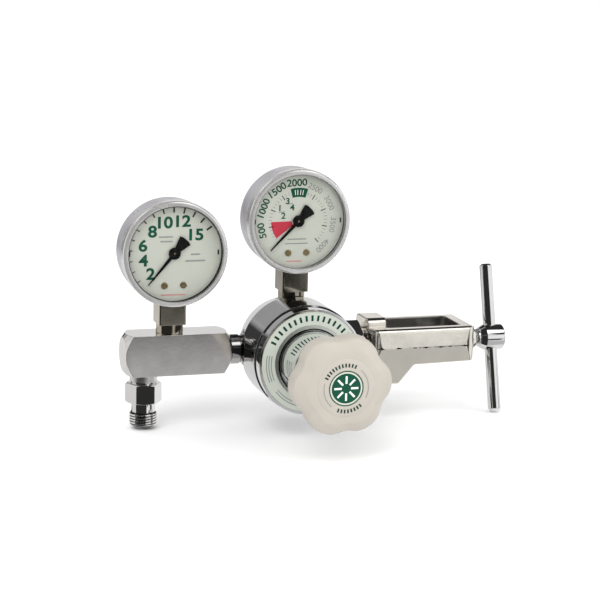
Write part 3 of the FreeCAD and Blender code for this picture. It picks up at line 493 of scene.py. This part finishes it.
def tee_screw():
    centre = Vector((0, 0, 0))
    crest, root, pitch = 4.74, 4.1, 1.5875
    tip, stud_end, head_left, head_right, head_r = 28.2, 30.6, 56.0, 69.7, 7.0
    thread_start, thread_end = stud_end + 0.3, head_left - 1.2
    rod = [(2.1, tip), (2.5, tip + 0.4), (2.5, stud_end), (3.9, stud_end)]
    rod += [(root, h) for h in heights(thread_start, thread_end, 0.16)]
    rod += [(4.7, head_left - 1.0), (4.7, head_left), (5.3, head_left), (head_r, head_left + 2.9)]
    rod += rounded([(head_r, head_left + 3.0), (head_r, head_right, 0.9), (4.0, head_right)], 5)[1:]
    shape = thread(root, crest, pitch, thread_start, thread_end, 1.2)

    def rod_shape(angle, r, h):
        return shape(angle, r, h) if abs(r - root) < 1e-6 else r
    made = piece("tee_screw_look", *skin(turned_rings(rod, centre, X, Y, 72, rod_shape)),
                 looks["tee_plating"], "tee", "tee_plating", 24.0)
    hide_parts("tee_screw")


# Control knob

knob_r = 25.6


def knob_radius(angle):
    """Lobed outline: lobe arcs joined by inward valley arcs, in the knob's own angle."""
    lobe_r, lobe_top, valley_low, lobes = 13.0, knob_r, 23.1, 6
    reach = lobe_top - lobe_r
    half = math.pi / lobes
    span_side, along = reach * math.sin(half), reach * math.cos(half)
    valley_r = ((span_side ** 2 + (valley_low - along) ** 2 - lobe_r ** 2)
                / (2 * (lobe_r - valley_low + along)))
    valley_centre = valley_low + valley_r
    turn = abs((angle + half) % (2 * half) - half)
    to_lobe = half - turn
    inside = valley_r ** 2 - (valley_centre * math.sin(turn)) ** 2
    valley = valley_centre * math.cos(turn) - math.sqrt(inside) if inside > 0 else 99.0
    lobe = reach * math.cos(to_lobe) + math.sqrt(max(0.0, lobe_r ** 2 - (reach * math.sin(to_lobe)) ** 2))
    join = math.atan2(valley_r / (lobe_r + valley_r) * span_side,
                      valley_centre + (along - valley_centre) * valley_r / (lobe_r + valley_r))
    return valley if turn < join else lobe


def knob():
    centre = Vector((bonnet_x, 0, 0))
    turn = math.radians(-25.0)
    across = X * math.cos(turn) + Z * math.sin(turn)
    round_r, rim_r, rim_h, seat_r, seat_h = 14.8, 18.9, 72.6, 9.0, 91.5
    levels = rounded([(rim_r, rim_h), (20.6, 72.0, 0.6), (23.6, 72.4, 0.8), (knob_r, 78.5, 3.0),
                      (knob_r, 88.9, 3.6), (19.5, 91.3, 4.0), (14.9, 91.75)], 7)
    levels += [(14.7, 91.72), (14.4, 91.9), (13.2, 92.15), (9.4, 92.25), (9.05, 92.28),
               (seat_r, 92.1), (seat_r, seat_h)]

    def shape(angle, r, h):
        """The lobes fade out towards the round middle of the face; the back rim stays round."""
        if r < round_r or (h < rim_h + 0.1 and r < rim_r + 0.1):
            return r
        drop = knob_r - r
        share = max(0.0, min(1.0, drop / (knob_r - round_r)))
        lobed = knob_radius(angle) - drop
        return lobed * (1 - share ** 1.5) + r * share ** 1.5
    outside = turned_rings(levels, centre, -Y, across, 216, shape)
    back = turned_rings([(rim_r, rim_h), (18.8, 88.0), (17.5, 89.3), (8.0, 89.3), (8.0, 83.0),
                         (4.8, 83.0), (4.8, 86.0)], centre, -Y, across, 216)
    seat = turned_rings([(seat_r, seat_h), (seat_r, seat_h - 0.1)], centre, -Y, across, 72)
    parts = [skin(outside, False, False), skin(back, False, True), skin(seat)]
    made = piece("control_knob_look", *joined(parts), looks["knob_plastic"], "knob", "knob_plastic", 40.0)
    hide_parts("control_knob")


# Printed pieces

badge_r = 8.95
badge_depth = 0.6
sector_step = 4.0


def clock(angle, r, centre):
    """Point on a dial: degrees clockwise from the top, radius in millimetres."""
    a = math.radians(angle)
    return (centre[0] + r * math.sin(a), centre[1] + r * math.cos(a))


def bar(angle, r_in, r_out, width, centre):
    """Radial bar as four points."""
    a = math.radians(angle)
    side = (math.cos(a) * width / 2, -math.sin(a) * width / 2)
    inner, outer = clock(angle, r_in, centre), clock(angle, r_out, centre)
    return [(inner[0] - side[0], inner[1] - side[1]), (inner[0] + side[0], inner[1] + side[1]),
            (outer[0] + side[0], outer[1] + side[1]), (outer[0] - side[0], outer[1] - side[1])]


def sector(start, end, r_in, r_out, centre):
    """Band between two radii and two dial angles."""
    count = max(1, math.ceil((end - start) / sector_step))
    turns = [start + (end - start) * k / count for k in range(count + 1)]
    outer = [clock(a, r_out, centre) for a in turns]
    inner = [clock(a, r_in, centre) for a in reversed(turns)]
    return outer + inner


def full_ring(r_in, r_out, centre):
    """Closed band, as four quarters."""
    return [sector(a, a + 90, r_in, r_out, centre) for a in (0, 90, 180, 270)]


def printed(name, outlines, depth, colour, body, slot):
    """Flat print that faces the front, lying just on its surface."""
    points, faces = [], []
    for one in outlines:
        faces.append(tuple(range(len(points), len(points) + len(one))))
        points += [(a, depth, b) for a, b in one]
    return piece(name, points, faces, inks[colour], body, slot)


def numbers(name, entries, depth, colour, body, slot, wide=1.15):
    """Dial numbers; each entry is text, middle, height, turn and boldness."""
    points, faces = [], []
    for text, middle, size, turn, bold in entries:
        curve = bpy.data.curves.new("number", "FONT")
        curve.body = text
        curve.size = size
        curve.offset = bold
        source = bpy.data.objects.new("number", curve)
        flat = bpy.data.meshes.new_from_object(source)
        a = math.radians(turn)
        base = len(points)
        centre = [(min(v.co[i] for v in flat.vertices) + max(v.co[i] for v in flat.vertices)) / 2
                  for i in (0, 1)]
        for vertex in flat.vertices:
            across, up = (vertex.co.x - centre[0]) * wide, vertex.co.y - centre[1]
            u = across * math.cos(a) + up * math.sin(a)
            v = up * math.cos(a) - across * math.sin(a)
            points.append((middle[0] + u, depth, middle[1] + v))
        faces += [tuple(base + i for i in polygon.vertices) for polygon in flat.polygons]
        bpy.data.objects.remove(source)
        bpy.data.curves.remove(curve)
        bpy.data.meshes.remove(flat)
    return piece(name, points, faces, inks[colour], body, slot)


def dial_place(prefix):
    centre, depth = front(prefix + "dial")
    return centre, depth - 0.04


def rows(lines, thick, centre):
    """Level lines; each is its middle's right and up from the dial centre, and its length."""
    out = []
    for right, up, length in lines:
        left_end, right_end = centre[0] + right - length / 2, centre[0] + right + length / 2
        low, high = centre[1] + up - thick / 2, centre[1] + up + thick / 2
        out.append([(left_end, low), (right_end, low), (right_end, high), (left_end, high)])
    return out


def flow_print():
    centre, depth = dial_place("flow_")
    first, step = -127.7, 14.09
    ticks = [bar(first + step * k, 22.3 - 0.13 * k, 24.0, 0.42 + 0.045 * k, centre) for k in range(14)]
    printed("flow_ticks", ticks, depth, "black", "frame", "gauge_dial")
    places = {"2": (229.8, 16.1), "4": (258.4, 16.5), "6": (285.0, 17.0), "8": (315.0, 16.3),
              "10": (343.3, 16.8), "12": (15.7, 17.3), "15": (50.7, 14.9)}
    entries = [(t, clock(a, r, centre), 8.2, 0.0, 0.26) for t, (a, r) in places.items()]
    numbers("flow_numbers", entries, depth, "green", "frame", "gauge_dial")
    lines = [(-4.5, 8.6, 7.5), (-4.2, 6.2, 6.5), (11.2, -0.8, 5.0), (11.2, -4.2, 10.5)]
    printed("flow_lines", rows(lines, 0.8, centre), depth, "grey", "frame", "gauge_dial")
    red_line = rows([(-0.3, -21.7, 13.0)], 0.7, centre)
    printed("flow_red_line", red_line, depth, "pale_red", "frame", "gauge_dial")


def contents_print():
    centre, depth = dial_place("contents_")
    first, full = -135, 4000
    per_psi = 270.0 / full
    minor = [bar(first + per_psi * p, 14.2, 16.0, 0.16, centre) for p in range(0, full + 1, 100)]
    major = [bar(first + per_psi * p, 13.4, 16.2, 0.5, centre) for p in range(500, full + 1, 500)]
    printed("contents_ticks", minor + major, depth, "black", "frame", "gauge_dial")
    bold = {"500": 256.5, "1000": 291.0, "1500": 325.0, "2000": 357.0}
    entries = [(t, clock(a, 20.2, centre), 5.2, a, 0.11) for t, a in bold.items()]
    numbers("contents_numbers", entries, depth, "green", "frame", "gauge_dial", 1.08)
    light = {"2500": 28.0, "3000": 61.5, "3500": 97.4, "4000": 134.0}
    entries = [(t, clock(a, 19.3, centre), 4.2, a, 0.04) for t, a in light.items()]
    numbers("contents_light_numbers", entries, depth, "grey", "frame", "gauge_dial", 1.0)
    lines = [(-0.4, -9.6, 10.5), (-0.6, -11.9, 12.5)]
    printed("contents_lines", rows(lines, 0.6, centre), depth, "grey", "frame", "gauge_dial")
    red_line = rows([(-1.8, -21.3, 8.5)], 0.7, centre)
    printed("contents_red_line", red_line, depth, "pale_red", "frame", "gauge_dial")
    bands = [sector(-15, 17, 12.7, 17.5, centre)]
    printed("contents_full_band", bands, depth - 0.01, "green", "frame", "gauge_dial")
    stripes = [bar(a, 13.8, 16.4, 0.3, centre) for a in (-7.0, -2.0, 4.0, 9.0)]
    printed("contents_band_stripes", stripes, depth - 0.02, "white", "frame", "gauge_dial")
    low_sector = [sector(-128, -91, 3.4, 14.6, centre)]
    printed("contents_low_sector", low_sector, depth, "red", "frame", "gauge_dial")
    halves = {"1": (-55.0, 12.3), "2": (-70.0, 8.6), "3": (-29.0, 12.2), "4": (-25.0, 8.0)}
    entries = [(t, clock(a, r, centre), 4.4, 0.0, 0.1) for t, (a, r) in halves.items()]
    numbers("contents_fractions", entries, depth, "green", "frame", "gauge_dial")
    lines = [(-9.0, 4.9, 3.4), (-4.7, 9.1, 3.4)]
    printed("contents_fraction_bars", rows(lines, 0.3, centre), depth, "green", "frame", "gauge_dial")


def dial_tabs(prefix):
    """Two black tabs that hold the dial, and a painted dark ring of shade in the gap between lens and
    bezel.
    """
    gap_in, gap_out = 24.35, 24.7
    tab_reach, tab_width, tab_height = 23.4, 0.9, 2.6
    centre, depth = dial_place(prefix)
    lens_depth = front(prefix + "lens")[1]
    # Painted shade: a dark ring at the lens's edge, black on one gauge and grey on the other.
    gap_shade_ink = "black" if prefix == "flow_" else "grey"
    printed(prefix + "lens_gap_shade", full_ring(gap_in, gap_out, centre), lens_depth - 0.03, gap_shade_ink,
            "frame", "gauge_bezel")
    tabs = rows([(side * tab_reach, 0.0, tab_width) for side in (-1, 1)], tab_height, centre)
    printed(prefix + "dial_tabs", tabs, depth, "black", "frame", "gauge_dial")


def badge():
    """Pale disc of the knob, with a plain wheel of spokes."""
    centre, disc_depth = front("knob_badge")
    depth = disc_depth + 0.08
    disc = turned_rings([(badge_r, badge_depth), (badge_r, 0.05), (badge_r - 0.05, 0.0)],
                        Vector((centre[0], depth + 0.03, centre[1])), Y, X, 96)
    made = piece("knob_badge_look", *skin(disc), looks["knob_badge"], "knob", "knob_badge")
    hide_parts("knob_badge")
    for name, r_in, r_out in (("badge_ring", 8.3, 8.85), ("badge_disc", 0.0, 7.5)):
        printed(name, full_ring(r_in, r_out, centre), depth, "green", "knob", "knob_badge")
    spokes = [bar(45.0 * k, 2.4, 6.2, 1.0, centre) for k in range(8)]
    printed("badge_spokes", spokes, depth - 0.02, "white", "knob", "knob_badge")


def bezel_edge_shade(made):
    """Painted dark line of shade at the inner edge of each bezel, standing in for the lip's dark
    reflection.
    """
    edge_shade_r = 25.05
    tree_nodes, links, shader = opened(made)
    # Painted shade: darker on one gauge than on the other.
    for prefix, dark in (("flow_", 0.25), ("contents_", 0.35)):
        centre, _ = dial_place(prefix)
        reach = axis_distance(tree_nodes, links, "XZ", (centre[0] * MM, centre[1] * MM))
        edge_shade = maths(tree_nodes, links, "LESS_THAN", reach, edge_shade_r * MM)
        over(tree_nodes, links, shader, "Base Color", edge_shade, (dark, dark, dark, 1))


def label_print():
    """Plain graduations on the bonnet's ring."""
    centre, ring_depth = front("label_ring")
    depth = ring_depth - 0.03
    ticks = [bar(-62.0 + 7.75 * k, 21.7, 24.7, 1.15, centre) for k in range(17)]
    printed("label_ticks", ticks, depth, "dark_green", "frame", "label_ring")
    line_width = 0.45
    lines = [sector(246, 281, r, r + line_width, centre) for r in (21.3, 22.6, 23.9)]
    lines += [sector(198, 232, r, r + line_width, centre) for r in (22.2, 23.6)]
    printed("label_lines", lines, depth, "grey", "frame", "label_ring")


def knob_print():
    """Plain graduations round the knob's badge."""
    centre, disc_depth = front("knob_badge")
    depth = disc_depth + 0.02
    ticks = [bar(first + 8.5 * k, 10.6, 12.5, 0.8, centre)
             for first, count in ((-62.0, 11), (140.0, 8)) for k in range(count)]
    printed("knob_ticks", ticks, depth, "dark_green", "knob", "knob_plastic")
    lines = [sector(start, end, 11.3, 11.6, centre) for start, end in ((40, 118), (220, 285))]
    printed("knob_lines", lines, depth, "grey", "knob", "knob_plastic")


flow_print()
contents_print()
label_print()
knob_print()
bezel_edge_shade(looks["gauge_bezel"])
dial_tabs("flow_")
dial_tabs("contents_")
outlet_fitting()
tee_screw()
knob()
badge()


# Studio: pale floor, soft light and a sphere of brightness that only reflections see

def stage_mesh(name, points, faces, colour, glow=0.0, only_reflections=False):
    made, tree_nodes, links, shader = new_material(name)
    shader.inputs["Base Color"].default_value = (*colour, 1)
    shader.inputs["Roughness"].default_value = 0.9
    if glow:
        shader.inputs["Base Color"].default_value = (0, 0, 0, 1)
        shader.inputs["Emission Color"].default_value = (*colour, 1)
        shader.inputs["Emission Strength"].default_value = glow
    if only_reflections:
        shader.inputs["Specular IOR Level"].default_value = 0.0
    mesh = bpy.data.meshes.new(name)
    mesh.from_pydata(points, [], faces)
    mesh.materials.append(made)
    card = bpy.data.objects.new(name, mesh)
    scene.collection.objects.link(card)
    if only_reflections:
        card.visible_camera = False
        card.visible_diffuse = False
        card.visible_shadow = False
        card.visible_transmission = False
    return card


# What reflections see, by direction: azimuths and elevations in degrees, brightness and edge softness.
# Azimuth 0 is the front, 90 the left, 180 the back, 270 the right. A later patch covers an earlier one.
sky_patches = [
    ((-180, 180), (-90, 0), 0.9, 2),
    ((88, 204), (-90, 25), 0.76, 8),
    ((-180, 180), (25, 90), 0.03, 5),
    ((-9, 86), (-65, 25), 0.03, 2),
    ((-19, -8), (-13, 25), 0.03, 1),
    ((-19, -8), (-65, -32), 0.03, 3),
    ((-18.8, -8), (-40, -12.4), 0.52, 1),
    ((-60, -19), (-60, -22), 0.55, 5),
    ((-77, -53), (-30, 5), 0.08, 3),
    ((-34, -23.5), (-17, -6), 0.05, 1),
    ((-34, -21), (20, 42), 0.85, 3),
    ((140, 176), (-9, 11), 0.05, 4),
    ((140, 186), (11, 27), 0.38, 5),
    ((-154, -110), (8, 25), 0.22, 4),
    ((-70, -10), (40, 62), 2.2, 8),
    ((95, 150), (35, 60), 1.6, 8),
]


def sky_level(azimuth, elevation):
    level = 1.0
    for azimuths, elevations, patch, soft in sky_patches:
        middle = (azimuths[0] + azimuths[1]) / 2
        off = abs((azimuth - middle + 180) % 360 - 180)
        side = (azimuths[1] - azimuths[0]) / 2 - off
        if azimuths[1] - azimuths[0] >= 360:
            side = soft
        rise = min(elevation - elevations[0], elevations[1] - elevation)
        if elevations[0] <= -90:
            rise = elevations[1] - elevation
        if elevations[1] >= 90:
            rise = elevation - elevations[0]
        share = 1.0
        for inside in (side, rise):
            share *= max(0.0, min(1.0, inside / soft + 0.5))
        level += (patch - level) * share
    return level


def sky_dome():
    """Sphere round the object that only reflections see, painted by direction."""
    reach, turns, rises = 3.0, 360, 90
    points, faces, levels = [], [], []
    for i in range(rises + 1):
        e = -90 + 180 * i / rises
        for k in range(turns):
            a = 360 * k / turns
            flat, up = math.cos(math.radians(e)), math.sin(math.radians(e))
            points.append((bonnet_x * MM - reach * flat * math.sin(math.radians(a)),
                           -reach * flat * math.cos(math.radians(a)), reach * up))
            levels += [sky_level(a, e)] * 3 + [1.0]
    for i in range(rises):
        for k in range(turns):
            n = (k + 1) % turns
            faces.append((i * turns + k, i * turns + n, (i + 1) * turns + n, (i + 1) * turns + k))
    dome = stage_mesh("sky_dome", points, faces, (0, 0, 0), 1.0, True)
    paint = dome.data.color_attributes.new("level", "FLOAT_COLOR", "POINT")
    paint.data.foreach_set("color", levels)
    tree_nodes, links, shader = opened(dome.data.materials[0])
    attribute = tree_nodes.new("ShaderNodeAttribute")
    attribute.attribute_name = "level"
    links.new(attribute.outputs["Color"], shader.inputs["Emission Color"])


def studio():
    far, world_strength, lamp_size = 6.0, 1.05, 1.2
    lamps = (("key", (-0.9, -1.1, 1.5), 16.0), ("fill", (1.3, -0.9, 0.9), 9.0))
    aim = Vector((-0.05, 0, 0.03))
    corners = [(x * far, y * far, floor_level) for x, y in ((-1, -1), (1, -1), (1, 1), (-1, 1))]
    floor = stage_mesh("floor", corners, [(0, 1, 2, 3)], (0.97, 0.97, 0.97))
    floor.visible_glossy = False
    world = bpy.data.worlds.new("studio")
    world.use_nodes = True
    background = world.node_tree.nodes["Background"]
    background.inputs["Color"].default_value = (1, 1, 1, 1)
    background.inputs["Strength"].default_value = world_strength
    scene.world = world
    sky_dome()
    for name, place, power in lamps:
        light = bpy.data.lights.new(name, "AREA")
        light.size = lamp_size
        light.energy = power
        lamp = bpy.data.objects.new(name, light)
        lamp.location = place
        lamp.rotation_mode = "QUATERNION"
        lamp.rotation_quaternion = (aim - Vector(place)).to_track_quat("-Z", "Y")
        lamp.visible_glossy = False
        scene.collection.objects.link(lamp)


def camera():
    a, e, roll = (math.radians(v) for v in (camera_azimuth, camera_elevation, camera_roll))
    back = Vector((math.sin(a) * math.cos(e), -math.cos(a) * math.cos(e), math.sin(e)))
    right = Vector((math.cos(a), math.sin(a), 0))
    up = back.cross(right)
    right, up = right * math.cos(roll) + up * math.sin(roll), up * math.cos(roll) - right * math.sin(roll)
    data = bpy.data.cameras.new("camera")
    data.lens = camera_lens
    data.sensor_width = 36.0
    data.clip_start = 0.01
    data.clip_end = 50.0
    made = bpy.data.objects.new("camera", data)
    made.rotation_mode = "QUATERNION"
    made.matrix_world = Matrix((right, up, back)).transposed().to_4x4()
    made.location = camera_place
    scene.collection.objects.link(made)
    scene.camera = made


studio()
camera()
scene.view_settings.view_transform = "Standard"
